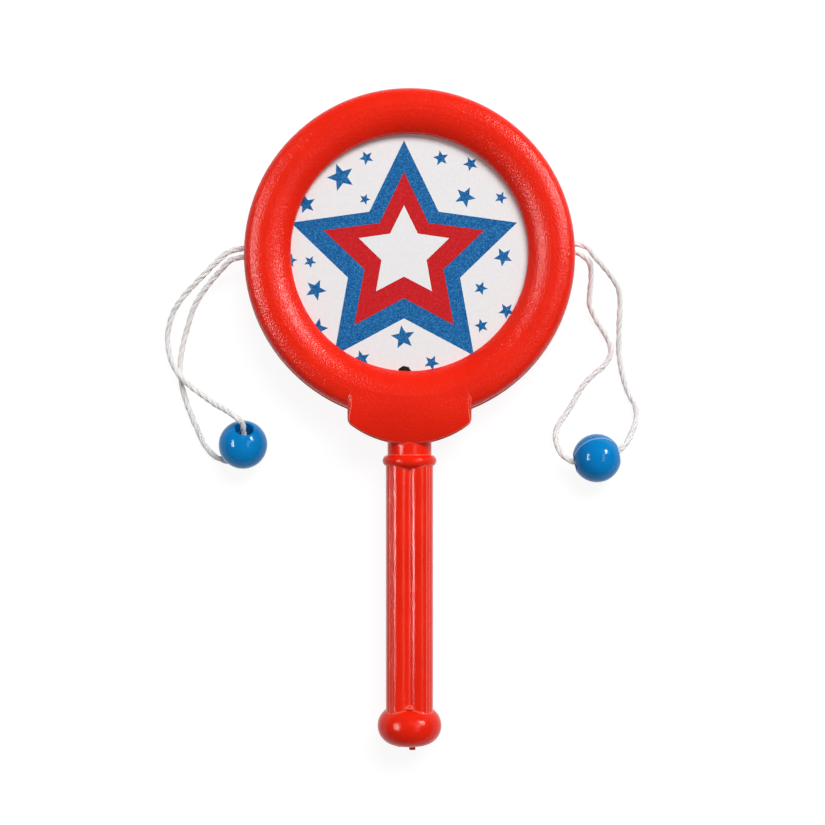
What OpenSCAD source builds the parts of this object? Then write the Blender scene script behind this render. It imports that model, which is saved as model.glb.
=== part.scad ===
// Pellet drum rattle: a shallow two-headed drum on a fluted handle, with a bead
// on a loop of cord at each side. The handle is twirled and the beads swing up
// over the rim and strike the heads.
//
// Frame: the drum lies on its rear rim. +Z is the drum's axis and leaves the
// front head, the handle runs towards -Y, and Z = 0 is the surface it lies on.

/* [Drum rim] */
// Outer radius of the rim
rim_r = 41; // [38:0.1:46]
// Width of the rim, from its outer side to the opening that shows a head
rim_w = 11.55; // [10.5:0.05:12.6]
// How far the opening lies off the drum's axis, away from the handle
opening_shift = 0.5; // [0:0.1:0.6]
// Depth of the drum from its front crest to its rear crest
drum_depth = 16; // [15:0.5:20]
// How far the crests lie in from the rim's outer side
crest_in = 5; // [4.5:0.1:5.5]
// How far the opening cuts into the inner flank of the crown over each crest
lip_cut = 1.25; // [1:0.05:1.5]
// Width of the flat land along each crest
crest_land_w = 1.5; // [0.8:0.1:2]
// Radius of the shoulder from the crown down to the outer side
shoulder_r = 3; // [2:0.1:3.5]
// Wall of the moulded shells
wall = 1.3; // [1:0.1:1.6]
// How far the rear shell stands out past the front shell at the parting line
parting_step = 0.4; // [0.1:0.05:0.5]
// Height of the band round the rear rim that stands out so
parting_band = 1; // [0.6:0.1:2]

/* [Heads] */
// How far a head lies below the crest
head_recess = 5; // [4.5:0.1:5.5]
// Thickness of a head
head_t = 0.5; // [0.3:0.05:0.8]
// How far a head reaches under the lip all round
head_seat_w = 2.5; // [2.2:0.1:2.6]
// Radius of the notch in the front head's lower edge
notch_r = 1.8; // [1:0.1:2]
// How far the notch's centre lies outside the opening's edge
notch_out = 0.45; // [0.1:0.05:0.8]
// Sideways place of the notch
notch_x = -1.2; // [-4:0.1:4]
// Wall of the hoop that holds the heads apart
hoop_t = 1.2; // [0.8:0.1:1.5]
// Gap round the hoop, to the edge of the heads
hoop_gap = 0.2; // [0.1:0.05:0.4]

/* [Shield] */
// Width of the shield that joins the drum to the handle
shield_w = 30.2; // [26:0.1:32]
// How far the shield's lowest point lies beyond the rim
shield_drop = 5.9; // [4.5:0.1:7]
// Radius of the shield's lower edge
shield_edge_r = 24.2; // [22:0.1:28]
// Radius that rounds the shield's two lower corners
shield_corner_r = 2; // [1:0.1:3]
// Radius that rounds over the shield's top edge
shield_round_r = 1.2; // [0.8:0.1:2]
// Radius of the slope from the crest down to the neck
shield_slope_r = 20; // [17:0.5:24]

/* [Handle] */
// Radius of the neck
neck_r = 5.5; // [4.8:0.1:6]
// Length of the neck, from the shield to the collar
neck_l = 2.9; // [2:0.1:6]
// Outer radius of the collar
collar_r = 6.75; // [6.3:0.05:7.5]
// Width of the collar along the handle
collar_w = 3; // [2:0.1:4]
// Length of the fluted grip between the collar and the pommel
grip_l = 59.8; // [45:0.1:75]
// Width of the grip
grip_w = 11.8; // [11.2:0.1:12.4]
// Thickness of the grip, from front to rear
grip_t = 10.6; // [10:0.1:11.2]
// Radius of the two flutes on each face
flute_r = 3.4; // [3.2:0.05:3.6]
// Distance between the middles of the two flutes on a face
flute_pitch = 4.7; // [4.4:0.1:5]
// Radius of the flute along each side
side_flute_r = 2.6; // [2.2:0.1:2.8]
// Radius of the groove along each flute's outer flank
flank_groove_r = 0.35; // [0.25:0.05:0.45]
// Distance of that groove from the flute's middle, sideways
flank_groove_x = 2.3; // [2.1:0.1:2.5]
// Length over which the middle groove runs out at each end
groove_run = 1; // [0.6:0.1:1.5]
// Length of the pommel
pommel_l = 9.7; // [8:0.1:12]
// Radius of the handle's hollow
hollow_r = 3.4; // [3:0.1:3.6]
// Radius of the gate stub left on the pommel's end
gate_r = 0.8; // [0.6:0.1:1]
// How far the gate stub stands out of the pommel
gate_l = 1.2; // [0.8:0.1:1.5]
// Sideways place of the gate stub
gate_x = 0.7; // [-2:0.1:2]

/* [Locating pins] */
// Radius of a locating pin
pin_r = 1; // [0.8:0.05:1.2]
// Gap round a pin in its socket
pin_gap = 0.06; // [0.03:0.01:0.1]
// How far a pin stands out of the front shell
pin_l = 2.4; // [1.5:0.1:3]
// Wall round a socket
boss_t = 1.1; // [0.9:0.1:1.3]
// Inset of the two handle pins from the collar and the pommel
handle_pin_inset = 5; // [4:0.5:10]

/* [Cords and beads] */
// Diameter of the cord
cord_d = 1.6; // [1.4:0.05:1.7]
// Diameter of the hole in the rim that a loop leaves by
cord_hole_d = 4.2; // [4.2:0.1:5]
// Distance between the two strands in the hole
strand_pitch = 2.2; // [2:0.05:2.3]
// Diameter of a knot
knot_d = 5.4; // [5:0.1:5.8]
// Length of a knot
knot_l = 4.4; // [3.5:0.1:5]
// How far a knot stays off the inside of the rim's wall
knot_gap = 0.3; // [0.3:0.05:0.6]
// Diameter of a bead
bead_d = 12.2; // [11:0.1:12.4]
// Diameter of the bore through a bead
bore_d = 4.5; // [3.8:0.1:4.6]
// Width of the bevel round each end of the bore
bore_bevel = 0.4; // [0.2:0.05:0.6]

/* [Hidden] */
$fn = 64;

// The shells part at half the drum's depth, and heights in the half shells and
// in their parts are measured up from there.
half = drum_depth / 2;
eps = 0.01;
far = 300;

// Rim: a broad crown, cut flat along its crest, then a tighter shoulder and a
// straight outer side. The opening is a straight cut through the crown's inner
// flank, and leaves a sharp lip.
opening_r = rim_r - rim_w;
crown_at = rim_r - crest_in;
crown_r = crown_at - opening_r + lip_cut;
crown_cut = crown_r - sqrt(crown_r * crown_r - crest_land_w * crest_land_w / 4);
crown_z = half + crown_cut - crown_r;
shoulder_at = rim_r - shoulder_r;
shoulder_z = crown_z
    + sqrt(pow(crown_r - shoulder_r, 2) - pow(shoulder_at - crown_at, 2));
shoulder_start = crown_at + (shoulder_at - crown_at) * crown_r / (crown_r - shoulder_r);
head_z = half - head_recess;
head_r = opening_r + head_seat_w;
hoop_r = head_r - hoop_gap;
rim_hollow_in = opening_r + opening_shift + wall;

// Shield, neck and handle, by their distances from the drum's axis.
shield_end = rim_r + shield_drop;
shield_centre = shield_end - shield_edge_r;
corner_x = shield_w / 2 - shield_corner_r;
corner_y = shield_centre + sqrt(pow(shield_edge_r - shield_corner_r, 2) - pow(corner_x, 2));
shield_top = sqrt(pow(crown_at, 2) - pow(shield_w / 2 + parting_step, 2));
// Length that stays level with the crest before the shield slopes down.
shield_level = 1;
collar_start = shield_end + neck_l;
grip_start = collar_start + collar_w;
pommel_start = grip_start + grip_l;
pommel_end = pommel_start + pommel_l;
pommel_round = pommel_l / 2;

// Each face has two flutes side by side, and the groove between them lies this
// far above the parting plane. A narrow groove runs down each outer flank.
flute_at = [flute_pitch / 2, grip_t / 2 - flute_r];
groove_z = flute_at.y + sqrt(pow(flute_r, 2) - pow(flute_at.x, 2));
flank_groove_at = flute_at
    + [flank_groove_x, sqrt(pow(flute_r, 2) - pow(flank_groove_x, 2))];
// Thin flash that runs from the gate stub along the parting line.
flash_w = 2.8;
flash_l = 0.5;
flash_t = 0.3;

boss_r = pin_r + pin_gap + boss_t;
bore_mouth = sqrt(pow(bead_d, 2) - pow(bore_d, 2)) / 2;
knot_face = rim_r - wall - knot_gap;
hole_end = rim_r + wall;
rim_pin_angles = [35, 145, 215, 325];
handle_pins = [grip_start + handle_pin_inset, pommel_start - handle_pin_inset];

// Places of the two cord holes along the rim, and of the beads and their bores
// as the toy lies. A bore's direction points out of the end that its loop's
// first strand goes in by.
left_hole_y = 0.6;
right_hole_y = 1.7;
left_bead_at = [-41.8, -47.3, bead_d / 2];
left_bore_turn = -10;
left_bore_rise = 42;
right_bead_at = [47, -50.7, bead_d / 2];
right_bore_turn = -78.5;
right_bore_rise = 0;

// Routes of the two loops, each from the knot behind its hole, out through the
// rim, to the bead, through the bore and back to the knot.
left_route = [
    [-knot_face, left_hole_y + strand_pitch / 2, half],
    [-hole_end, left_hole_y + strand_pitch / 2, half],
    [-45.6, 0.6, 8], [-49, -2.3, 7.4], [-52.7, -5.8, 6.4], [-56.8, -9.9, 5],
    [-59.5, -13.8, 3.9], [-60.9, -18.1, 3.1], [-61.1, -21.6, 2.8], [-60.4, -25.6, 2.8],
    [-58.5, -29.4, 2.9], [-55.4, -32.5, 3.4], [-51.9, -35, 5], [-48.4, -37.3, 8],
    [-45.3, -38.9, 10.8], [-42.9, -40.5, 11.9], [-41.4, -42.5, 10.4],
    [-41.8, -47.3, 6.1], [-42.3, -50.2, 3.5], [-42.8, -51.1, 2.5], [-43.7, -51.7, 1.7],
    [-45, -51.8, 1.1], [-47, -51.4, 0.9], [-49.3, -50.4, 0.9], [-51.5, -48.2, 0.9],
    [-53.4, -44.6, 0.9], [-55.1, -40.6, 0.9], [-56.8, -36.2, 0.9], [-57.9, -31.8, 0.9],
    [-58.2, -27.3, 0.9], [-57.6, -22.6, 1.1], [-56.2, -17.6, 2], [-54.6, -13.1, 3.1],
    [-52.6, -9.6, 4.1], [-50, -6.3, 5.2], [-47, -3.2, 6.6], [-45, -1.3, 7.6],
    [-hole_end, left_hole_y - strand_pitch / 2, half],
    [-knot_face, left_hole_y - strand_pitch / 2, half],
];
right_route = [
    [knot_face, right_hole_y + strand_pitch / 2, half],
    [hole_end, right_hole_y + strand_pitch / 2, half],
    [44.7, 1.8, 8.1], [46.8, -0.8, 7.8], [49.7, -4, 6.9], [52.2, -7.4, 5.6],
    [53.1, -11, 4.5], [53, -15.9, 3.4], [53, -20, 2.6], [53.1, -24.2, 1.9],
    [53.9, -29, 1.5], [55.3, -33.8, 1.4], [57.1, -37.4, 1.7], [57.4, -40.7, 2.6],
    [56.1, -44.2, 4.2], [54.7, -46.7, 5.3], [52.9, -48.6, 6], [50.9, -49.8, 6.1],
    [47, -50.7, 6.1], [43, -51.6, 6.1], [40.5, -51.4, 6], [38.1, -49.4, 5.1],
    [36.9, -46.2, 3.6], [37.5, -42.8, 2.1], [39.6, -39.8, 1.2], [41.9, -36.1, 0.9],
    [44.2, -32.2, 0.9], [46.9, -29.4, 0.9], [49.5, -27.2, 0.9], [51, -24.6, 0.9],
    [50.9, -21.9, 0.9], [49.5, -19.1, 1.2], [47.2, -15.6, 1.8], [45.6, -11.9, 2.7],
    [45.6, -8.6, 3.6], [45.7, -4.9, 4.9], [45.2, -1.8, 6.4],
    [hole_end, right_hole_y - strand_pitch / 2, half],
    [knot_face, right_hole_y - strand_pitch / 2, half],
];
cord_sides = 8;

// ---- helpers ----

// Turns a shape that runs along +Z so that it runs along -Y at the parting
// plane's height, from the drum's axis.
module along_handle() {
    rotate([90, 0, 0]) children();
}

module rounded_top(half_w, top, round_r) {
    translate([-half_w, 0]) square([2 * half_w, top - round_r]);
    translate([round_r - half_w, 0]) square([2 * (half_w - round_r), top]);
    for (side = [-1, 1])
        translate([side * (half_w - round_r), top - round_r]) circle(round_r);
}

// ---- rim, in profile ----

// Everything under the crown and the shoulder, less an inset all round.
module crown_section(inset) {
    intersection() {
        translate([crown_at, crown_z]) circle(crown_r - inset);
        square([shoulder_start, 2 * half]);
    }
    translate([shoulder_at, shoulder_z]) circle(shoulder_r - inset);
    translate([crown_at, 0]) square([rim_r - inset - crown_at, shoulder_z]);
}

module rim_outline(step) {
    intersection() {
        union() {
            crown_section(0);
            translate([crown_at, 0]) square([rim_r + step - crown_at, parting_band]);
        }
        square([2 * rim_r, half]);
    }
}

module rim_hollow_outline() {
    intersection() {
        crown_section(wall);
        translate([rim_hollow_in, 0]) square([rim_r, half]);
    }
    translate([rim_hollow_in, -1]) square([rim_r - wall - rim_hollow_in, shoulder_z + 1]);
}

module half_rim(step) {
    rotate_extrude() rim_outline(step);
}

// ---- shield ----

// The shield starts at the rim's crest and leaves the crown's inner flank round.
module shield_outline(step) {
    difference() {
        union() {
            intersection() {
                translate([0, -shield_centre]) circle(shield_edge_r + step);
                polygon([[0, -shield_centre],
                         [-2 * corner_x, shield_centre - 2 * corner_y],
                         [2 * corner_x, shield_centre - 2 * corner_y]]);
            }
            translate([-shield_w / 2 - step, -corner_y])
                square([shield_w + 2 * step, corner_y - shield_top]);
            for (side = [-1, 1])
                translate([side * corner_x, -corner_y]) circle(shield_corner_r + step);
        }
        circle(crown_at);
    }
}

// Side view: level with the crest, then a slope down to the neck.
module shield_side(step) {
    translate([shield_top, 0]) square([crown_at - shield_top + shield_level, half]);
    intersection() {
        translate([crown_at + shield_level, half - shield_slope_r]) circle(shield_slope_r);
        translate([crown_at + shield_level - eps, 0])
            square([shield_drop + rim_r - crown_at + step, half]);
    }
}

module half_shield(step) {
    round_out = shield_round_r / 6;
    intersection() {
        linear_extrude(half) shield_outline(step);
        translate([far / 2, 0, 0]) rotate([90, 0, -90]) linear_extrude(far) shield_side(step);
        rotate([90, 0, 0]) linear_extrude(far)
            rounded_top(shield_w / 2 + step + round_out, half, shield_round_r);
        translate([0, -shield_centre, 0]) rotate_extrude() intersection() {
            rounded_top(shield_edge_r + step + round_out, half, shield_round_r);
            square(far);
        }
    }
}

// ---- handle ----

module grip_section() {
    difference() {
        union() {
            for (x = [-1, 1], y = [-1, 1])
                translate([x * flute_at.x, y * flute_at.y]) circle(flute_r);
            for (x = [-1, 1])
                translate([x * (grip_w / 2 - side_flute_r), 0]) circle(side_flute_r);
        }
        for (x = [-1, 1], y = [-1, 1])
            translate([x * flank_groove_at.x, y * flank_groove_at.y]) circle(flank_groove_r);
    }
}

module collar_profile() {
    square([collar_r - collar_w / 2, collar_w]);
    translate([collar_r - collar_w / 2, collar_w / 2]) circle(collar_w / 2);
}

// The pommel is as deep as the drum, so the toy lies level.
module pommel_profile() {
    square([half - pommel_round, pommel_l]);
    translate([half - pommel_round, pommel_round]) circle(pommel_round);
}

module handle_solid() {
    along_handle() {
        translate([0, 0, rim_r - wall]) cylinder(r = neck_r, h = collar_start - rim_r + wall + 1);
        translate([0, 0, collar_start]) rotate_extrude()
            intersection() { collar_profile(); square(far); }
        translate([0, 0, grip_start - collar_w / 2])
            linear_extrude(grip_l + collar_w / 2 + pommel_round) grip_section();
        translate([0, 0, grip_start])
            cylinder(r1 = grip_t / 2, r2 = groove_z - eps, h = groove_run);
        translate([0, 0, pommel_start - groove_run])
            cylinder(r1 = groove_z - eps, r2 = grip_t / 2, h = groove_run);
        translate([0, 0, pommel_start]) rotate_extrude()
            intersection() { pommel_profile(); square(far); }
        translate([gate_x, 0, pommel_end - wall]) cylinder(r = gate_r, h = wall + gate_l);
        translate([gate_x - flash_w - gate_r, -flash_t, pommel_end - wall])
            cube([flash_w + gate_r, 2 * flash_t, wall + flash_l]);
    }
}

module handle_hollow() {
    along_handle() translate([0, 0, rim_r - 2 * wall])
        cylinder(r = hollow_r, h = pommel_end - wall - rim_r + 2 * wall);
}

// ---- half shells, with the parting plane at Z = 0 ----

module at_pins() {
    for (a = rim_pin_angles) rotate(a) translate([crown_at, 0, 0]) children();
}

module at_handle_pins() {
    for (y = handle_pins) translate([0, -y, 0]) children();
}

module half_shell(step) {
    difference() {
        union() {
            half_rim(step);
            half_shield(step);
            intersection() {
                handle_solid();
                translate([-far / 2, -far, 0]) cube([far, far, far]);
            }
        }
        rotate_extrude() rim_hollow_outline();
        translate([0, 0, -1]) cylinder(r = head_r, h = head_z + 1);
        translate([0, opening_shift, -1]) cylinder(r = opening_r, h = half + 2);
        handle_hollow();
        cord_hole(-1, left_hole_y);
        cord_hole(1, right_hole_y);
    }
    intersection() {
        union() {
            at_pins() cylinder(r = boss_r, h = half - wall / 2);
            at_handle_pins() cylinder(r = boss_r, h = groove_z - wall / 2);
        }
        cylinder(r = far, h = half);
    }
}

module cord_hole(side, y) {
    translate([side * (rim_r - 2 * wall), y, 0]) rotate([0, side * 90, 0])
        cylinder(d = cord_hole_d, h = 4 * wall);
}

module pins() {
    at_pins() translate([0, 0, -pin_l]) cylinder(r = pin_r, h = pin_l + 1);
    at_handle_pins() translate([0, 0, -pin_l]) cylinder(r = pin_r, h = pin_l + 1);
}

module sockets() {
    socket_r = pin_r + pin_gap;
    socket_l = pin_l + 0.2;
    at_pins() translate([0, 0, -1]) cylinder(r = socket_r, h = socket_l + 1);
    at_handle_pins() translate([0, 0, -1]) cylinder(r = socket_r, h = socket_l + 1);
}

// ---- heads, hoop, knots, cords and beads ----

module head() {
    cylinder(r = head_r, h = head_t);
}

// A knot is drawn as a drum with rounded edges, and its flat face meets the
// ends of its loop.
module knot(side, y) {
    edge = knot_d / 7;
    translate([side * knot_face, y, half]) rotate([0, -side * 90, 0]) rotate_extrude() {
        square([knot_d / 2 - edge, knot_l]);
        translate([0, edge]) square([knot_d / 2, knot_l - 2 * edge]);
        for (z = [edge, knot_l - edge])
            translate([knot_d / 2 - edge, z]) circle(edge);
    }
}

module bead(at, turn, rise) {
    translate(at) rotate(turn) rotate([rise - 90, 0, 0]) difference() {
        sphere(d = bead_d);
        cylinder(d = bore_d, h = bead_d + 2, center = true);
        for (end = [0, 180])
            rotate([end, 0, 0]) translate([0, 0, bore_mouth - bore_bevel])
                cylinder(r1 = bore_d / 2, r2 = bore_d / 2 + 2 * bore_bevel, h = 2 * bore_bevel);
    }
}

// A round tube through every point of a route. Each ring stands square to the
// run through its neighbours, and the two ends are cut square.
function unit(v) = v / norm(v);
function heading(route, i) =
    unit(route[min(i + 1, len(route) - 1)] - route[max(i - 1, 0)]);
function carried(side_v, along) = unit(side_v - (side_v * along) * along);
function frames(route, i, side_v) =
    let (along = heading(route, i), across = carried(side_v, along))
    i == len(route) - 1
        ? [[across, cross(along, across)]]
        : concat([[across, cross(along, across)]], frames(route, i + 1, across));
module tube(route, d) {
    sides = [for (f = frames(route, 0, [0, 0, 1])) f];
    points = [for (i = [0 : len(route) - 1], k = [0 : cord_sides - 1])
        let (a = k * 360 / cord_sides)
        route[i] + d / 2 * (cos(a) * sides[i][0] + sin(a) * sides[i][1])];
    last = (len(route) - 1) * cord_sides;
    walls = [for (i = [0 : len(route) - 2], k = [0 : cord_sides - 1])
        let (a = i * cord_sides + k, b = i * cord_sides + (k + 1) % cord_sides)
        each [[a, a + cord_sides, b], [b, a + cord_sides, b + cord_sides]]];
    ends = [[for (k = [0 : cord_sides - 1]) k],
            [for (k = [cord_sides - 1 : -1 : 0]) last + k]];
    polyhedron(points, concat(walls, ends));
}

// ---- pieces ----

module front_shell() {
    color([0.92, 0.18, 0.12]) translate([0, 0, half]) {
        half_shell(0);
        pins();
    }
}

module rear_shell() {
    color([0.86, 0.14, 0.09]) translate([0, 0, half]) mirror([0, 0, 1]) difference() {
        half_shell(parting_step);
        sockets();
    }
}

module front_head() {
    color([0.93, 0.92, 0.93]) translate([0, 0, half + head_z - head_t]) difference() {
        head();
        translate([notch_x, opening_shift - opening_r - notch_out, -1])
            cylinder(r = notch_r, h = head_t + 2);
    }
}

module rear_head() {
    color([0.93, 0.92, 0.93]) translate([0, 0, half - head_z]) head();
}

module spacer_hoop() {
    color([0.8, 0.72, 0.6]) translate([0, 0, half - head_z + head_t]) difference() {
        cylinder(r = hoop_r, h = 2 * (head_z - head_t));
        translate([0, 0, -1]) cylinder(r = hoop_r - hoop_t, h = 2 * half);
    }
}

module left_knot() {
    color([0.95, 0.94, 0.92]) knot(-1, left_hole_y);
}

module right_knot() {
    color([0.95, 0.94, 0.92]) knot(1, right_hole_y);
}

module left_cord() {
    color([0.95, 0.94, 0.92]) tube(left_route, cord_d);
}

module right_cord() {
    color([0.95, 0.94, 0.92]) tube(right_route, cord_d);
}

module left_bead() {
    color([0.02, 0.44, 0.7]) bead(left_bead_at, left_bore_turn, left_bore_rise);
}

module right_bead() {
    color([0.02, 0.44, 0.7]) bead(right_bead_at, right_bore_turn, right_bore_rise);
}

front_shell();
rear_shell();
front_head();
rear_head();
spacer_hoop();
left_knot();
left_cord();
left_bead();
right_knot();
right_cord();
right_bead();
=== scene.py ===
"""Pellet drum rattle: a two-headed paper drum in a moulded rim on a fluted grip, with a bead on a loop of
cord at each side.

Metres, in the frame of the CAD model: the rear rim lies on Z = 0, +Z is the drum's axis and leaves the front
head, and the grip runs towards -Y.
"""

import math
import random

import bpy
from mathutils import Matrix, Vector, noise
from mathutils.geometry import delaunay_2d_cdt


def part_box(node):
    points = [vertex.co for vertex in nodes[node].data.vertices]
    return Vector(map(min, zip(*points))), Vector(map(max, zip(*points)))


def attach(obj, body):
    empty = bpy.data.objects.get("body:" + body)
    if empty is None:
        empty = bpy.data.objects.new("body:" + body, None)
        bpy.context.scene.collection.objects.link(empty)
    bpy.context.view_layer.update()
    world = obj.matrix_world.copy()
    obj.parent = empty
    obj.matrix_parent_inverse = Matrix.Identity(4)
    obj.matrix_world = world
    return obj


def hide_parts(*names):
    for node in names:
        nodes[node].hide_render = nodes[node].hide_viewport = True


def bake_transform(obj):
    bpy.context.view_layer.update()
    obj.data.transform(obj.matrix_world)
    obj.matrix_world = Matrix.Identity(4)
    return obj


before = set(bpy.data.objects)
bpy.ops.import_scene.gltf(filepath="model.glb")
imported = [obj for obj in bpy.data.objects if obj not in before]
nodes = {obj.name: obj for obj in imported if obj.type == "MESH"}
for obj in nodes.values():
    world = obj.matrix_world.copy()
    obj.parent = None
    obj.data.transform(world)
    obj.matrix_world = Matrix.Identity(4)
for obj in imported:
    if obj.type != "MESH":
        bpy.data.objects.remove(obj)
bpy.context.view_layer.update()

MM = 0.001

# Half the drum's depth: the height of the parting line and of the cord holes, in millimetres.
HALF_DEPTH = 8


# ---- colours and nodes ----

# The sockets of a Mix node that lays one colour over another, and its output.
HOW_MUCH = 0
UNDER = 6
OVER = 7
MIXED = 2


def srgb(code):
    """Turns a hex colour as seen on screen into the linear values that a shader takes."""
    parts = [int(code[i : i + 2], 16) / 255 for i in (0, 2, 4)]
    return [v / 12.92 if v <= 0.04045 else ((v + 0.055) / 1.055) ** 2.4 for v in parts] + [1.0]


def per_mm(size):
    """The scale of a texture in a space of metres whose features are this many millimetres wide."""
    return 1000.0 / size


def plug(tree, node, sockets):
    """Fills a node's sockets, each with a value or with a link given as (node, name of its output)."""
    for name, value in sockets.items():
        if isinstance(value, tuple) and isinstance(value[0], bpy.types.Node):
            tree.links.new(node.inputs[name], value[0].outputs[value[1]])
        else:
            node.inputs[name].default_value = value


def add(tree, kind, settings=None, sockets=None, stops=()):
    """Adds a node with its settings and filled sockets. stops are the colours along a ramp, in rising
    order, as (place, hex colour)."""
    node = tree.nodes.new(kind)
    for name, value in (settings or {}).items():
        setattr(node, name, value)
    plug(tree, node, sockets or {})
    for k, (place, code) in enumerate(stops):
        elements = node.color_ramp.elements
        element = elements[k] if k < len(elements) else elements.new(place)
        element.position = place
        element.color = srgb(code)
    return node


def new_surface(name):
    """A material with an empty Principled shader, and its node tree."""
    material = bpy.data.materials.new(name)
    material.use_nodes = True
    tree = material.node_tree
    return material, tree, tree.nodes["Principled BSDF"]


# ---- camera ----

# The picture is seen from this far above the plane of the parting line. It is square, and takes in this
# much of that plane round this middle, all in millimetres.
VIEW_FROM = 450
VIEW_SIDE = 206.25
VIEW_X = 0.75
VIEW_Y = -39.25


def aim_camera():
    """Straight down on the toy, with the grip towards the bottom of the picture."""
    data = bpy.data.cameras.new("camera")
    data.sensor_width = 36.0
    data.lens = data.sensor_width * VIEW_FROM / VIEW_SIDE
    data.clip_start = 0.01
    camera = bpy.data.objects.new("camera", data)
    camera.location = (VIEW_X * MM, VIEW_Y * MM, (HALF_DEPTH + VIEW_FROM) * MM)
    bpy.context.collection.objects.link(camera)
    bpy.context.scene.camera = camera


# ---- meshes ----


def make_piece(name, points, faces, smooth=True):
    mesh = bpy.data.meshes.new(name)
    mesh.from_pydata([tuple(p) for p in points], [], faces)
    mesh.validate()
    for polygon in mesh.polygons:
        polygon.use_smooth = smooth
    piece = bpy.data.objects.new(name, mesh)
    bpy.context.collection.objects.link(piece)
    return piece


# ---- cords ----

# The cord's thickness.
CORD_D = 1.6 * MM

# In millimetres: how far apart a loop's two strands leave the hole, and how far from the drum's axis the
# knot's face and the outer end of the hole lie.
STRAND_PITCH = 2.2
KNOT_FACE = 39.4
HOLE_END = 42.3

# In millimetres: how far up the picture the two cord holes lie, and the routes of the loops as the model has
# them.
LEFT_HOLE_Y = 0.6
RIGHT_HOLE_Y = 1.7
LEFT_ROUTE = [
    (-KNOT_FACE, LEFT_HOLE_Y + STRAND_PITCH / 2, HALF_DEPTH),
    (-HOLE_END, LEFT_HOLE_Y + STRAND_PITCH / 2, HALF_DEPTH),
    (-45.6, 0.6, 8), (-49, -2.3, 7.4), (-52.7, -5.8, 6.4), (-56.8, -9.9, 5),
    (-59.5, -13.8, 3.9), (-60.9, -18.1, 3.1), (-61.1, -21.6, 2.8), (-60.4, -25.6, 2.8),
    (-58.5, -29.4, 2.9), (-55.4, -32.5, 3.4), (-51.9, -35, 5), (-48.4, -37.3, 8),
    (-45.3, -38.9, 10.8), (-42.9, -40.5, 11.9), (-41.4, -42.5, 10.4),
    (-41.8, -47.3, 6.1), (-42.3, -50.2, 3.5), (-42.8, -51.1, 2.5), (-43.7, -51.7, 1.7),
    (-45, -51.8, 1.1), (-47, -51.4, 0.9), (-49.3, -50.4, 0.9), (-51.5, -48.2, 0.9),
    (-53.4, -44.6, 0.9), (-55.1, -40.6, 0.9), (-56.8, -36.2, 0.9), (-57.9, -31.8, 0.9),
    (-58.2, -27.3, 0.9), (-57.6, -22.6, 1.1), (-56.2, -17.6, 2), (-54.6, -13.1, 3.1),
    (-52.6, -9.6, 4.1), (-50, -6.3, 5.2), (-47, -3.2, 6.6), (-45, -1.3, 7.6),
    (-HOLE_END, LEFT_HOLE_Y - STRAND_PITCH / 2, HALF_DEPTH),
    (-KNOT_FACE, LEFT_HOLE_Y - STRAND_PITCH / 2, HALF_DEPTH),
]
RIGHT_ROUTE = [
    (KNOT_FACE, RIGHT_HOLE_Y + STRAND_PITCH / 2, HALF_DEPTH),
    (HOLE_END, RIGHT_HOLE_Y + STRAND_PITCH / 2, HALF_DEPTH),
    (44.7, 1.8, 8.1), (46.8, -0.8, 7.8), (49.7, -4, 6.9), (52.2, -7.4, 5.6),
    (53.1, -11, 4.5), (53, -15.9, 3.4), (53, -20, 2.6), (53.1, -24.2, 1.9),
    (53.9, -29, 1.5), (55.3, -33.8, 1.4), (57.1, -37.4, 1.7), (57.4, -40.7, 2.6),
    (56.1, -44.2, 4.2), (54.7, -46.7, 5.3), (52.9, -48.6, 6), (50.9, -49.8, 6.1),
    (47, -50.7, 6.1), (43, -51.6, 6.1), (40.5, -51.4, 6), (38.1, -49.4, 5.1),
    (36.9, -46.2, 3.6), (37.5, -42.8, 2.1), (39.6, -39.8, 1.2), (41.9, -36.1, 0.9),
    (44.2, -32.2, 0.9), (46.9, -29.4, 0.9), (49.5, -27.2, 0.9), (51, -24.6, 0.9),
    (50.9, -21.9, 0.9), (49.5, -19.1, 1.2), (47.2, -15.6, 1.8), (45.6, -11.9, 2.7),
    (45.6, -8.6, 3.6), (45.7, -4.9, 4.9), (45.2, -1.8, 6.4),
    (HOLE_END, RIGHT_HOLE_Y - STRAND_PITCH / 2, HALF_DEPTH),
    (KNOT_FACE, RIGHT_HOLE_Y - STRAND_PITCH / 2, HALF_DEPTH),
]

# The cord is three soft yarns laid together, each one turn round the others in this length. They press one
# another a little flat.
LAY = 7.5 * MM
YARNS = 3
YARN_R = 0.43 * MM
YARN_FLAT = 1.12

# How finely a yarn is drawn, and the curve from each point of a route to the next.
YARN_SIDES = 14
RING_STEP = 0.25 * MM
CURVE_STEPS = 24

# Soft yarn isn't even. It creeps ahead of its helix and falls behind by a share of a turn, swells and thins
# by a share of its radius, and is pulled in and out by a share of its way from the middle. Each has a length
# of its own in which it changes.
CREEP = 0.16
CREEP_EVERY = 6 * MM
SWELL = 0.16
SWELL_EVERY = 2.2 * MM
PULL = 0.18
PULL_EVERY = 3.5 * MM


def smooth_route(route):
    """A smooth line through a route's points, in metres, as rings at equal steps."""
    stops = [Vector(p) * MM for p in route]
    stops = [2 * stops[0] - stops[1]] + stops + [2 * stops[-1] - stops[-2]]
    line = []
    for a, b, c, d in zip(stops, stops[1:], stops[2:], stops[3:]):
        for k in range(CURVE_STEPS):
            t = k / CURVE_STEPS
            second = (2 * a - 5 * b + 4 * c - d) * t**2
            third = (3 * b - a - 3 * c + d) * t**3
            line.append(0.5 * (2 * b + (c - a) * t + second + third))
    line.append(stops[-2])
    return equal_steps(line, RING_STEP)


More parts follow.
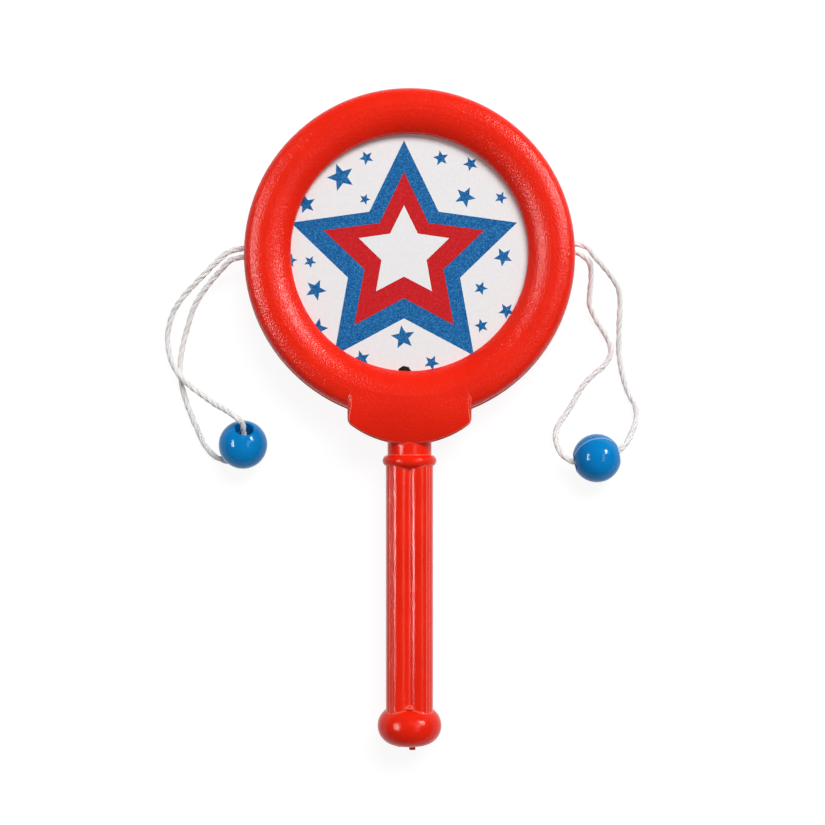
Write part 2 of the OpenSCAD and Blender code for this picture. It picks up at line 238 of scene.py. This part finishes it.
def equal_steps(line, step):
    """The same line cut into equal steps, as near this length as they come out even."""
    total = sum((b - a).length for a, b in zip(line, line[1:]))
    count = round(total / step)
    spacing = total / count
    slack = 1e-12
    rings = [line[0]]
    walked = 0.0
    for a, b in zip(line, line[1:]):
        run = (b - a).length
        while len(rings) <= count and len(rings) * spacing <= walked + run + slack:
            rings.append(a.lerp(b, (len(rings) * spacing - walked) / run))
        walked += run
    return rings


def lay_cord(name, route, seed):
    """Three yarns wound round the route's line, each as uneven as soft yarn is. The cord's ends run into the
    knot."""
    rings = smooth_route(route)
    chance = random.Random(seed)
    # Each cord takes its unevenness from a place of its own in the noise.
    offset = Vector([chance.uniform(0, 100) for _ in range(3)])
    side = Vector((0, 0, 1))
    turns = []
    for i in range(len(rings)):
        along = (rings[min(i + 1, len(rings) - 1)] - rings[max(i - 1, 0)]).normalized()
        side = (side - side.dot(along) * along).normalized()
        turns.append((side, along.cross(side)))
    points = []
    marks = []
    for yarn in range(YARNS):
        for i, ring in enumerate(rings):
            u, v = turns[i]
            far = i * RING_STEP
            # The second and third numbers only keep the yarns and the three patterns apart.
            creep = noise.noise(offset + Vector((far / CREEP_EVERY, 3.1 * yarn, 0)))
            swell = noise.noise(offset + Vector((far / SWELL_EVERY, 5.7 * yarn, 9)))
            pull = noise.noise(offset + Vector((far / PULL_EVERY, 8.3 * yarn, 17)))
            turn = 2 * math.pi * (far / LAY + yarn / YARNS + CREEP * creep)
            radius = YARN_R * (1 + SWELL * swell)
            out = math.cos(turn) * u + math.sin(turn) * v
            over = math.sin(turn) * u - math.cos(turn) * v
            centre = ring + (CORD_D / 2 - (1 + SWELL) * YARN_R) * (1 + PULL * pull) * out
            for k in range(YARN_SIDES):
                a = 2 * math.pi * k / YARN_SIDES
                points.append(centre + radius * (math.cos(a) * out + YARN_FLAT * math.sin(a) * over))
                marks.append((k / YARN_SIDES, far))
    per_yarn = len(rings) * YARN_SIDES
    faces = []
    for first in range(0, YARNS * per_yarn, per_yarn):
        for start in range(first, first + per_yarn - YARN_SIDES, YARN_SIDES):
            for k in range(YARN_SIDES):
                a = start + k
                b = start + (k + 1) % YARN_SIDES
                faces.append((b, a, a + YARN_SIDES, b + YARN_SIDES))
        last = first + per_yarn - YARN_SIDES
        faces.append(tuple(range(first, first + YARN_SIDES)))
        faces.append(tuple(range(last + YARN_SIDES - 1, last - 1, -1)))
    cord = make_piece(name, points, faces)
    mark_yarns(cord, marks)
    return cord, rings


def mark_yarns(cord, marks):
    """Stores how far round its yarn and how far along the cord each corner lies, for the run of the
    fibres."""
    layer = cord.data.uv_layers.new(name="yarn")
    for polygon in cord.data.polygons:
        # A face over the join of the round goes on past 1, so that its fibres don't turn back.
        rounds = [marks[i][0] for i in polygon.vertices]
        crosses = max(rounds) - min(rounds) > 0.5
        for loop, i in zip(polygon.loop_indices, polygon.vertices):
            across, far = marks[i]
            layer.data[loop].uv = (across + 1 if crosses and across < 0.5 else across, far)


def tie_on(cord, node):
    """The loop leaves the drum by its hole. Hides the model's own cord and bakes the drawn loop's place into
    its mesh."""
    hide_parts(node)
    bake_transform(cord)


# ---- printed heads ----

# The card discs and the heights of their undersides, in millimetres.
HEAD_R = 31.95
HEAD_T = 0.5
FRONT_HEAD_Z = 10.5
REAR_HEAD_Z = 5.0

# The corners round a disc. A square lattice of this pitch keeps the triangles of its print small and even,
# and stays this clear of its edge, both in millimetres.
HEAD_STEPS = 240
LATTICE = 4.0
LATTICE_CLEAR = 1.0

# The notch torn in the front disc and how ragged its edge is, in millimetres, and the corners round it.
NOTCH_R = 1.8
NOTCH_X = -1.2
NOTCH_Y = -29.4
NOTCH_RAGS = 0.2
NOTCH_STEPS = 40
NOTCH_SEED = 5

STAR_TIPS = 5

# The three nested stars, as (x, y, radius of the tips, radius of the inner corners) in millimetres.
BLUE_STAR = (-1.36, -1.23, 29.55, 14.65)
RED_STAR = (-1.36, -0.51, 20.98, 10.3)
WHITE_STAR = (-1.36, 0.41, 11.8, 5.89)

# The small stars, as (x, y, radius of the tips, degrees turned) in millimetres.
SMALL_STARS = [
    (-17.0, 19.2, 3.55, 20), (-10.7, 24.0, 1.85, 28), (-25.7, 12.5, 2.5, 12), (-11.1, 13.7, 1.45, -20),
    (7.8, 23.9, 2.0, 9), (15.2, 22.5, 1.9, 23), (13.8, 14.3, 2.7, -27), (22.7, 14.1, 1.65, -22),
    (23.3, -0.6, 2.45, 28), (17.7, -8.4, 1.8, -21), (24.1, -14.0, 2.1, 33), (17.9, -17.7, 1.85, 15),
    (-1.6, -20.6, 3.1, 9), (5.5, -26.9, 2.0, -27), (-11.9, -26.0, 2.3, 15), (-22.9, -18.5, 2.8, -13),
    (-23.3, -8.8, 2.75, -24), (-24.7, -1.8, 1.6, -28), (-29.6, -1.5, 1.8, -12),
]
# The radius of their inner corners, as a share of that of the tips.
SMALL_INNER = 0.44

# The head's finishes, in the order of its materials.
BARE = 0
BLUE = 1
RED = 2


def star(x, y, tip, inner, turn=0.0):
    """A star's outline, with a tip straight up before it is turned by these degrees."""
    outline = []
    for k in range(2 * STAR_TIPS):
        a = math.radians(90 + turn + 180 // STAR_TIPS * k)
        r = inner if k % 2 else tip
        outline.append((x + r * math.cos(a), y + r * math.sin(a)))
    return outline


def holds(outline, x, y):
    """Whether a point lies inside an outline."""
    inside = False
    for (ax, ay), (bx, by) in zip(outline, outline[1:] + outline[:1]):
        if (ay > y) != (by > y) and x < ax + (y - ay) * (bx - ax) / (by - ay):
            inside = not inside
    return inside


def print_of(mirror):
    """The head's print, as (outline, finish) with the later ones on top."""
    inks = [(star(*BLUE_STAR), BLUE), (star(*RED_STAR), RED), (star(*WHITE_STAR), BARE)]
    inks += [(star(x, y, tip, SMALL_INNER * tip, turn), BLUE) for x, y, tip, turn in SMALL_STARS]
    if mirror:
        inks = [([(-x, y) for x, y in reversed(outline)], finish) for outline, finish in inks]
    return inks


def ring_round(x, y, radii):
    """An outline round a middle, through one point for each radius."""
    outline = []
    for k, r in enumerate(radii):
        a = 2 * math.pi * k / len(radii)
        outline.append((x + r * math.cos(a), y + r * math.sin(a)))
    return outline


def torn_notch():
    """The notch's outline. It was torn rather than cut, so its edge is ragged."""
    chance = random.Random(NOTCH_SEED)
    radii = [NOTCH_R - chance.uniform(0, NOTCH_RAGS) for _ in range(NOTCH_STEPS)]
    return ring_round(NOTCH_X, NOTCH_Y, radii)


def lattice_points():
    """The points of the lattice that lie on the disc."""
    reach = math.ceil(HEAD_R / LATTICE)
    rows = range(-reach, reach + 1)
    points = [(LATTICE * i, LATTICE * j) for i in rows for j in rows]
    return [(x, y) for x, y in points if math.hypot(x, y) < HEAD_R - LATTICE_CLEAR]


def cut_card(inks, notch):
    """The disc as flat triangles that keep to the outlines of the print, with the finish of each."""
    rims = [ring_round(0, 0, [HEAD_R] * HEAD_STEPS)] + [outline for outline, _ in inks]
    if notch:
        rims.append(notch)
    spots = []
    edges = []
    for outline in rims:
        first = len(spots)
        spots += outline
        edges += [(first + k, first + (k + 1) % len(outline)) for k in range(len(outline))]
    spots += lattice_points()
    whole_hull = 0
    same_point = 1e-5
    hair = 0.0005
    verts, _, faces, _, _, _ = delaunay_2d_cdt([Vector(p) for p in spots], edges, [], whole_hull, same_point)
    kept = []
    finishes = []
    for face in faces:
        x = sum(verts[i].x for i in face) / len(face)
        y = sum(verts[i].y for i in face) / len(face)
        # The tip of one small star runs past the edge of the card and is cut off with it.
        past_edge = math.hypot(x, y) > HEAD_R - hair
        if past_edge or (notch and holds(notch, x, y)):
            continue
        finish = BARE
        for outline, ink in inks:
            if holds(outline, x, y):
                finish = ink
        kept.append(list(face))
        finishes.append(finish)
    return verts, kept, finishes


def printed_head(name, low, materials, face_up, notch, mirror):
    """A disc of card with its print as separate faces, and plain edges and back. low is the height of its
    underside."""
    verts, kept, finishes = cut_card(print_of(mirror), notch)
    count = len(verts)
    top = (low + HEAD_T) * MM
    bottom = low * MM
    points = [(v.x * MM, v.y * MM, z) for z in (top, bottom) for v in verts]
    upper = kept
    lower = [[i + count for i in reversed(face)] for face in kept]
    printed, plain = (upper, lower) if face_up else (lower, upper)
    # A side that no neighbour runs back along lies on an edge of the card. A dict keeps their order.
    sides = {}
    for face in kept:
        for a, b in zip(face, face[1:] + face[:1]):
            sides[(a, b)] = True
    walls = [(b, a, a + count, b + count) for a, b in sides if (b, a) not in sides]
    head = make_piece(name, points, printed + plain + walls, smooth=False)
    for material in materials:
        head.data.materials.append(material)
    for polygon, finish in zip(head.data.polygons, finishes):
        polygon.material_index = finish
    return head


# ---- finishes ----

# Where the finish of the shells changes on the way down the grip.
NECK_TOP = -45 * MM
NECK_FOOT = -49 * MM
POMMEL_TOP = -112.5 * MM
POMMEL_SIDE = -113.5 * MM


def injection_moulded_polystyrene():
    """Red high-impact polystyrene, injection moulded. The drum's tool was left satin and the grip's polished,
    so the rim gives a soft sheen and the grip crisp streaks, both broken up by a faint orange peel. The
    standing edges carry a painted highlight: they are painted pale where their rounds would catch the light."""
    material, tree, shader = new_surface("moulded_red_polystyrene")
    place = add(tree, "ShaderNodeTexCoord")
    apart = add(tree, "ShaderNodeSeparateXYZ", sockets={"Vector": (place, "Object")})
    # Flow of the melt: slow drifts of colour about 14 mm across.
    drift = add(
        tree, "ShaderNodeTexNoise",
        sockets={"Vector": (place, "Object"), "Scale": per_mm(14), "Detail": 3.0, "Roughness": 0.55},
    )
    colour = add(
        tree, "ShaderNodeValToRGB", sockets={"Fac": (drift, "Fac")},
        stops=[(0.3, "EC1F06"), (0.7, "F5250A")],
    )
    # 0 on the satin drum and 1 on the polished grip, changing over the neck.
    grip = add(
        tree, "ShaderNodeMapRange",
        sockets={"Value": (apart, "Y"), "From Min": NECK_TOP, "From Max": NECK_FOOT},
    )
    polish = add(
        tree, "ShaderNodeMapRange",
        sockets={"Value": (grip, "Result"), "To Min": 0.16, "To Max": 0.06},
    )
    # The pommel is dulled by play: 0 on the grip and 1 on the pommel.
    dulled = add(
        tree, "ShaderNodeMapRange",
        sockets={"Value": (apart, "Y"), "From Min": POMMEL_TOP, "From Max": POMMEL_SIDE},
    )
    finish = add(
        tree, "ShaderNodeMath", {"operation": "MULTIPLY_ADD"},
        {0: (dulled, "Result"), 1: 0.05, 2: (polish, "Result")},
    )
    # Scuffs and grease, 3 mm, that dull the polish in places.
    scuff = add(
        tree, "ShaderNodeTexNoise",
        sockets={"Vector": (place, "Object"), "Scale": per_mm(3), "Detail": 5.0, "Roughness": 0.65},
    )
    rough = add(
        tree, "ShaderNodeMath", {"operation": "MULTIPLY_ADD"},
        {0: (scuff, "Fac"), 1: 0.14, 2: (finish, "Value")},
    )
    # The sharp edges of the mould are broken by about 0.6 mm, and these narrow rounds catch the light.
    broken = add(tree, "ShaderNodeBevel", {"samples": 6}, {"Radius": 0.0006})
    # Painted highlight: where those edges stand out they are painted pale, as a glint. The inner corners,
    # where a short occlusion test finds walls close by, stay red.
    face = add(tree, "ShaderNodeNewGeometry")
    turned = add(
        tree, "ShaderNodeVectorMath", {"operation": "DOT_PRODUCT"},
        {0: (broken, "Normal"), 1: (face, "Normal")},
    )
    edge = add(
        tree, "ShaderNodeMapRange",
        sockets={"Value": (turned, "Value"), "From Min": 0.985, "From Max": 0.92, "To Max": 0.85},
    )
    air = add(tree, "ShaderNodeAmbientOcclusion", {"samples": 4, "only_local": True}, {"Distance": 0.0015})
    outer = add(
        tree, "ShaderNodeMapRange",
        sockets={"Value": (air, "AO"), "From Min": 0.7, "From Max": 0.85},
    )
    # The share of painted highlight on each standing edge.
    edge_glint_share = add(
        tree, "ShaderNodeMath", {"operation": "MULTIPLY"},
        {0: (edge, "Result"), 1: (outer, "Result")},
    )
    # Painted highlight: the edges are mixed towards the pale colour FFA48E.
    painted_glint = add(
        tree, "ShaderNodeMix", {"data_type": "RGBA"},
        {HOW_MUCH: (edge_glint_share, "Value"), UNDER: (colour, "Color"), OVER: srgb("FFA48E")},
    )
    # Orange peel, 1.8 mm, and on the drum the grit of a blasted tool, 0.5 mm.
    peel = add(
        tree, "ShaderNodeTexNoise",
        sockets={"Vector": (place, "Object"), "Scale": per_mm(1.8), "Detail": 2.0, "Roughness": 0.5},
    )
    grit = add(
        tree, "ShaderNodeTexNoise",
        sockets={"Vector": (place, "Object"), "Scale": per_mm(0.5), "Detail": 2.0, "Roughness": 0.6},
    )
    grit_depth = add(
        tree, "ShaderNodeMapRange",
        sockets={"Value": (grip, "Result"), "To Min": 1.0, "To Max": 0.35},
    )
    pebbled = add(
        tree, "ShaderNodeBump",
        sockets={
            "Strength": (grit_depth, "Result"), "Distance": 0.00014, "Height": (grit, "Fac"),
            "Normal": (broken, "Normal"),
        },
    )
    bump = add(
        tree, "ShaderNodeBump",
        sockets={"Strength": 0.5, "Distance": 0.0001, "Height": (peel, "Fac"), "Normal": (pebbled, "Normal")},
    )
    plug(tree, shader, {
        "Base Color": (painted_glint, MIXED),
        "Roughness": (rough, "Value"),
        "Normal": (bump, "Normal"),
        "IOR": 1.5,
        "Specular IOR Level": 0.18,
    })
    return material


def tumbled_polystyrene(name, centre, seam, dents):
    """Blue polystyrene bead, moulded in halves and tumbled: a high gloss with a few dull rubs and shallow
    dents, and the faint line of its seam. seam is the direction square to the plane in which the halves met,
    and dents how battered the bead is."""
    material, tree, shader = new_surface(name)
    place = add(tree, "ShaderNodeTexCoord")
    drift = add(
        tree, "ShaderNodeTexNoise",
        sockets={"Vector": (place, "Object"), "Scale": per_mm(9), "Detail": 2.0},
    )
    colour = add(
        tree, "ShaderNodeValToRGB", sockets={"Fac": (drift, "Fac")},
        stops=[(0.35, "007AC2"), (0.7, "0086CF")],
    )
    # The seam stands proud by a hair, 0.25 mm to each side, and a painted highlight runs pale along it.
    from_middle = add(
        tree, "ShaderNodeVectorMath", {"operation": "SUBTRACT"}, {0: (place, "Object"), 1: centre}
    )
    off_seam = add(
        tree, "ShaderNodeVectorMath", {"operation": "DOT_PRODUCT"},
        {0: (from_middle, "Vector"), 1: Vector(seam).normalized()},
    )
    off_seam = add(tree, "ShaderNodeMath", {"operation": "ABSOLUTE"}, {0: (off_seam, "Value")})
    ridge = add(
        tree, "ShaderNodeMapRange",
        sockets={"Value": (off_seam, "Value"), "From Max": 0.00025, "To Min": 1.0, "To Max": 0.0},
    )
    painted_glint = add(
        tree, "ShaderNodeMath", {"operation": "MULTIPLY"}, {0: (ridge, "Result"), 1: 0.8}
    )
    # Painted highlight: along the seam the blue is mixed towards the pale colour A9D6F0.
    tint = add(
        tree, "ShaderNodeMix", {"data_type": "RGBA"},
        {HOW_MUCH: (painted_glint, "Value"), UNDER: (colour, "Color"), OVER: srgb("A9D6F0")},
    )
    rub = add(
        tree, "ShaderNodeTexNoise",
        sockets={"Vector": (place, "Object"), "Scale": per_mm(1.5), "Detail": 5.0, "Roughness": 0.65},
    )
    rough = add(
        tree, "ShaderNodeMapRange",
        sockets={"Value": (rub, "Fac"), "From Min": 0.45, "From Max": 0.8, "To Min": 0.07, "To Max": 0.3},
    )
    dimple = add(
        tree, "ShaderNodeTexNoise",
        sockets={"Vector": (place, "Object"), "Scale": per_mm(1.6), "Detail": 3.0},
    )
    dented = add(
        tree, "ShaderNodeBump",
        sockets={"Strength": dents, "Distance": 0.0001, "Height": (dimple, "Fac")},
    )
    bump = add(
        tree, "ShaderNodeBump",
        sockets={
            "Strength": 0.6, "Distance": 0.00006, "Height": (ridge, "Result"), "Normal": (dented, "Normal"),
        },
    )
    plug(tree, shader, {
        "Base Color": (tint, MIXED),
        "Roughness": (rough, "Result"),
        "Normal": (bump, "Normal"),
        "IOR": 1.5,
        "Specular IOR Level": 0.16,
    })
    return material


def coated_card():
    """White coated card: a smooth faintly glossy sheet, very slightly warm where the coating is thin."""
    material, tree, shader = new_surface("coated_white_card")
    place = add(tree, "ShaderNodeTexCoord")
    fibre = add(
        tree, "ShaderNodeTexNoise",
        sockets={"Vector": (place, "Object"), "Scale": per_mm(0.8), "Detail": 4.0, "Roughness": 0.6},
    )
    colour = add(
        tree, "ShaderNodeValToRGB", sockets={"Fac": (fibre, "Fac")},
        stops=[(0.3, "EAE9EA"), (0.7, "F0EFF0")],
    )
    bump = add(
        tree, "ShaderNodeBump",
        sockets={"Strength": 0.2, "Distance": 0.00003, "Height": (fibre, "Fac")},
    )
    plug(tree, shader, {
        "Base Color": (colour, "Color"),
        "Normal": (bump, "Normal"),
        "Roughness": 0.6,
        "IOR": 1.5,
        "Specular IOR Level": 0.12,
    })
    return material


def screened_ink(name, dark, main, pale):
    """Offset ink on the card: flat and matt, with a fine grain and a few pale pinholes. Its screen dots are
    0.17 mm on the real print, and are drawn at 0.32 mm so that the grain shows."""
    material, tree, shader = new_surface(name)
    place = add(tree, "ShaderNodeTexCoord")
    grain = add(
        tree, "ShaderNodeTexNoise",
        sockets={"Vector": (place, "Object"), "Scale": per_mm(0.32), "Detail": 2.0, "Roughness": 0.7},
    )
    colour = add(
        tree, "ShaderNodeValToRGB", sockets={"Fac": (grain, "Fac")},
        stops=[(0.32, dark), (0.5, main), (0.7, pale)],
    )
    plug(tree, shader, {
        "Base Color": (colour, "Color"),
        "Roughness": 0.6,
        "IOR": 1.5,
        "Specular IOR Level": 0.12,
    })
    return material


def rolled_greyboard():
    """The hoop between the heads: a strip of grey-brown board, matt and fibrous, with darker flecks."""
    material, tree, shader = new_surface("rolled_greyboard")
    place = add(tree, "ShaderNodeTexCoord")
    fleck = add(
        tree, "ShaderNodeTexNoise",
        sockets={"Vector": (place, "Object"), "Scale": per_mm(0.7), "Detail": 5.0, "Roughness": 0.7},
    )
    colour = add(
        tree, "ShaderNodeValToRGB", sockets={"Fac": (fleck, "Fac")},
        stops=[(0.3, "9A8A72"), (0.65, "C9BBA2")],
    )
    bump = add(
        tree, "ShaderNodeBump",
        sockets={"Strength": 0.5, "Distance": 0.0001, "Height": (fleck, "Fac")},
    )
    plug(tree, shader, {
        "Base Color": (colour, "Color"),
        "Normal": (bump, "Normal"),
        "Roughness": 0.9,
    })
    return material


def laid_cotton():
    """Bleached cotton yarn, loosely laid: matt and nearly white, with shade between its fibres. Real fibres
    are 0.02 mm thick, so they are drawn in bundles 0.27 mm wide and 4 mm long that the picture can show."""
    material, tree, shader = new_surface("laid_white_cotton")
    round_yarn = add(tree, "ShaderNodeUVMap", {"uv_map": "yarn"})
    # Once round a yarn is 2.7 mm.
    bundles_round = 10.0
    run = add(
        tree, "ShaderNodeVectorMath", {"operation": "MULTIPLY"},
        {0: (round_yarn, "UV"), 1: (bundles_round, per_mm(4), 0.0)},
    )
    fibres = add(
        tree, "ShaderNodeTexNoise",
        sockets={"Vector": (run, "Vector"), "Scale": 1.0, "Detail": 4.0, "Roughness": 0.6, "Distortion": 0.4},
    )
    colour = add(
        tree, "ShaderNodeValToRGB", sockets={"Fac": (fibres, "Fac")},
        stops=[(0.3, "DCD4C8"), (0.44, "FBF8F3"), (0.7, "FFFEFC")],
    )
    bump = add(
        tree, "ShaderNodeBump",
        sockets={"Strength": 0.8, "Distance": 0.00012, "Height": (fibres, "Fac")},
    )
    # Light runs through the loose fibres, and those that stand up brighten the cord's edge.
    plug(tree, shader, {
        "Base Color": (colour, "Color"),
        "Normal": (bump, "Normal"),
        "Subsurface Weight": 0.5,
        "Subsurface Radius": (1.0, 0.95, 0.9),
        "Subsurface Scale": 0.0006,
        "Sheen Weight": 0.5,
        "Sheen Roughness": 0.5,
        "Roughness": 0.85,
        "Specular IOR Level": 0.2,
    })
    return material


def middle_of(node):
    """The middle of a piece's box in the model."""
    low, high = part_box(node)
    return (low + high) / 2


def dress(piece, material):
    """Gives a whole piece one finish."""
    piece.data.materials.clear()
    piece.data.materials.append(material)


# ---- floor and light ----


def lay_floor():
    """A white floor that shows white behind the toy and keeps a faint shadow under it. Only the picture, and
    what shines or lets light through, see its glow, so it adds nothing to the light on the toy."""
    material, tree, shader = new_surface("white_floor")
    plug(tree, shader, {"Base Color": srgb("E7E7E7"), "Roughness": 0.9, "Specular IOR Level": 0.0})
    path = add(tree, "ShaderNodeLightPath")
    seen = add(
        tree, "ShaderNodeMath", {"operation": "ADD"}, {0: (path, "Is Camera Ray"), 1: (path, "Is Glossy Ray")}
    )
    seen = add(
        tree, "ShaderNodeMath", {"operation": "ADD"}, {0: (seen, "Value"), 1: (path, "Is Transmission Ray")}
    )
    glow = add(tree, "ShaderNodeEmission", sockets={"Color": srgb("FFFFFF"), "Strength": 0.9})
    matt = add(tree, "ShaderNodeBsdfDiffuse", sockets={"Color": srgb("6F6F6F")})
    white = add(tree, "ShaderNodeAddShader", sockets={0: (glow, "Emission"), 1: (matt, "BSDF")})
    both = add(
        tree, "ShaderNodeMixShader",
        sockets={"Fac": (seen, "Value"), 1: (shader, "BSDF"), 2: (white, "Shader")},
    )
    plug(tree, tree.nodes["Material Output"], {"Surface": (both, "Shader")})
    size = 4.0
    corners = [(-size, -size, 0), (size, -size, 0), (size, size, 0), (-size, size, 0)]
    floor = make_piece("floor", corners, [(0, 1, 2, 3)], smooth=False)
    dress(floor, material)


def hang_lamp(name, towards, distance, wide, tall, watts, gloss):
    """A soft box that looks at the middle of the toy from this distance, with its tall side along the grip.
    It draws the highlights alone, with gloss, or else lights the colours alone."""
    data = bpy.data.lights.new(name, "AREA")
    data.shape = "RECTANGLE"
    data.size = tall
    data.size_y = wide
    data.energy = watts
    lamp = bpy.data.objects.new(name, data)
    middle = Vector((0, -0.035, 0))
    back = Vector(towards).normalized()
    along = (Vector((0, 1, 0)) - back.y * back).normalized()
    across = back.cross(along)
    lamp.matrix_world = Matrix((along, across, back)).transposed().to_4x4()
    lamp.location = middle + distance * back
    lamp.visible_camera = False
    lamp.visible_glossy = gloss
    lamp.visible_diffuse = not gloss
    bpy.context.collection.objects.link(lamp)


def light_studio():
    """Soft light from all round, and a wide box beyond the drum that lights the colours. The streaks on the
    grip and the sheen on the rim are drawn by a long bright box on the left, a long dim one on the right and
    a short bright one at the upper right."""
    world = bpy.data.worlds.new("studio")
    bpy.context.scene.world = world
    world.use_nodes = True
    tree = world.node_tree
    plug(tree, tree.nodes["Background"], {"Color": srgb("FFFFFF"), "Strength": 0.26})
    hang_lamp(
        "upper_box", towards=(0.26, 0.53, 0.81), distance=1.2, wide=0.8, tall=0.5, watts=12.8, gloss=False
    )
    hang_lamp(
        "left_box", towards=(-0.70, 0.08, 0.70), distance=1.0, wide=0.15, tall=0.5, watts=11.0, gloss=True
    )
    hang_lamp(
        "dim_right_box", towards=(0.48, 0.05, 0.88), distance=1.0, wide=0.22, tall=0.6, watts=1.6, gloss=True
    )
    hang_lamp(
        "right_box", towards=(0.66, 0.45, 0.60), distance=1.0, wide=0.18, tall=0.26, watts=12.0, gloss=True
    )


# ---- making ----

aim_camera()

cotton = laid_cotton()

left_cord, left_rings = lay_cord("left_loop_cord", LEFT_ROUTE, seed=3)
dress(left_cord, cotton)
tie_on(left_cord, "left_cord")

right_cord, right_rings = lay_cord("right_loop_cord", RIGHT_ROUTE, seed=8)
dress(right_cord, cotton)
tie_on(right_cord, "right_cord")

head_finishes = [
    coated_card(),
    screened_ink("blue_offset_ink", "00437F", "0060A2", "3F8FC4"),
    screened_ink("red_offset_ink", "BC0A12", "C90D15", "D82C31"),
]
front_print = printed_head(
    "front_printed_head", FRONT_HEAD_Z, head_finishes, face_up=True, notch=torn_notch(), mirror=False
)
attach(front_print, "drum")
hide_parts("front_head")
rear_print = printed_head(
    "rear_printed_head", REAR_HEAD_Z, head_finishes, face_up=False, notch=None, mirror=True
)
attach(rear_print, "drum")
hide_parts("rear_head")

shell_finish = injection_moulded_polystyrene()
dress(nodes["front_shell"], shell_finish)
dress(nodes["rear_shell"], shell_finish)
dress(nodes["spacer_hoop"], rolled_greyboard())
for knot in ("left_knot", "right_knot"):
    dress(nodes[knot], cotton)
# The right bead's seam shows over its top. The left bead is the more battered one, and its seam shows along
# its left side.
left_seam = (0.35, 0.03, 0.93)
right_seam = (-0.18, 0.56, -0.81)
left_finish = tumbled_polystyrene("battered_blue_bead", middle_of("left_bead"), left_seam, dents=0.8)
right_finish = tumbled_polystyrene("smooth_blue_bead", middle_of("right_bead"), right_seam, dents=0.25)
dress(nodes["left_bead"], left_finish)
dress(nodes["right_bead"], right_finish)

lay_floor()
light_studio()
bpy.context.scene.view_settings.view_transform = "Standard"
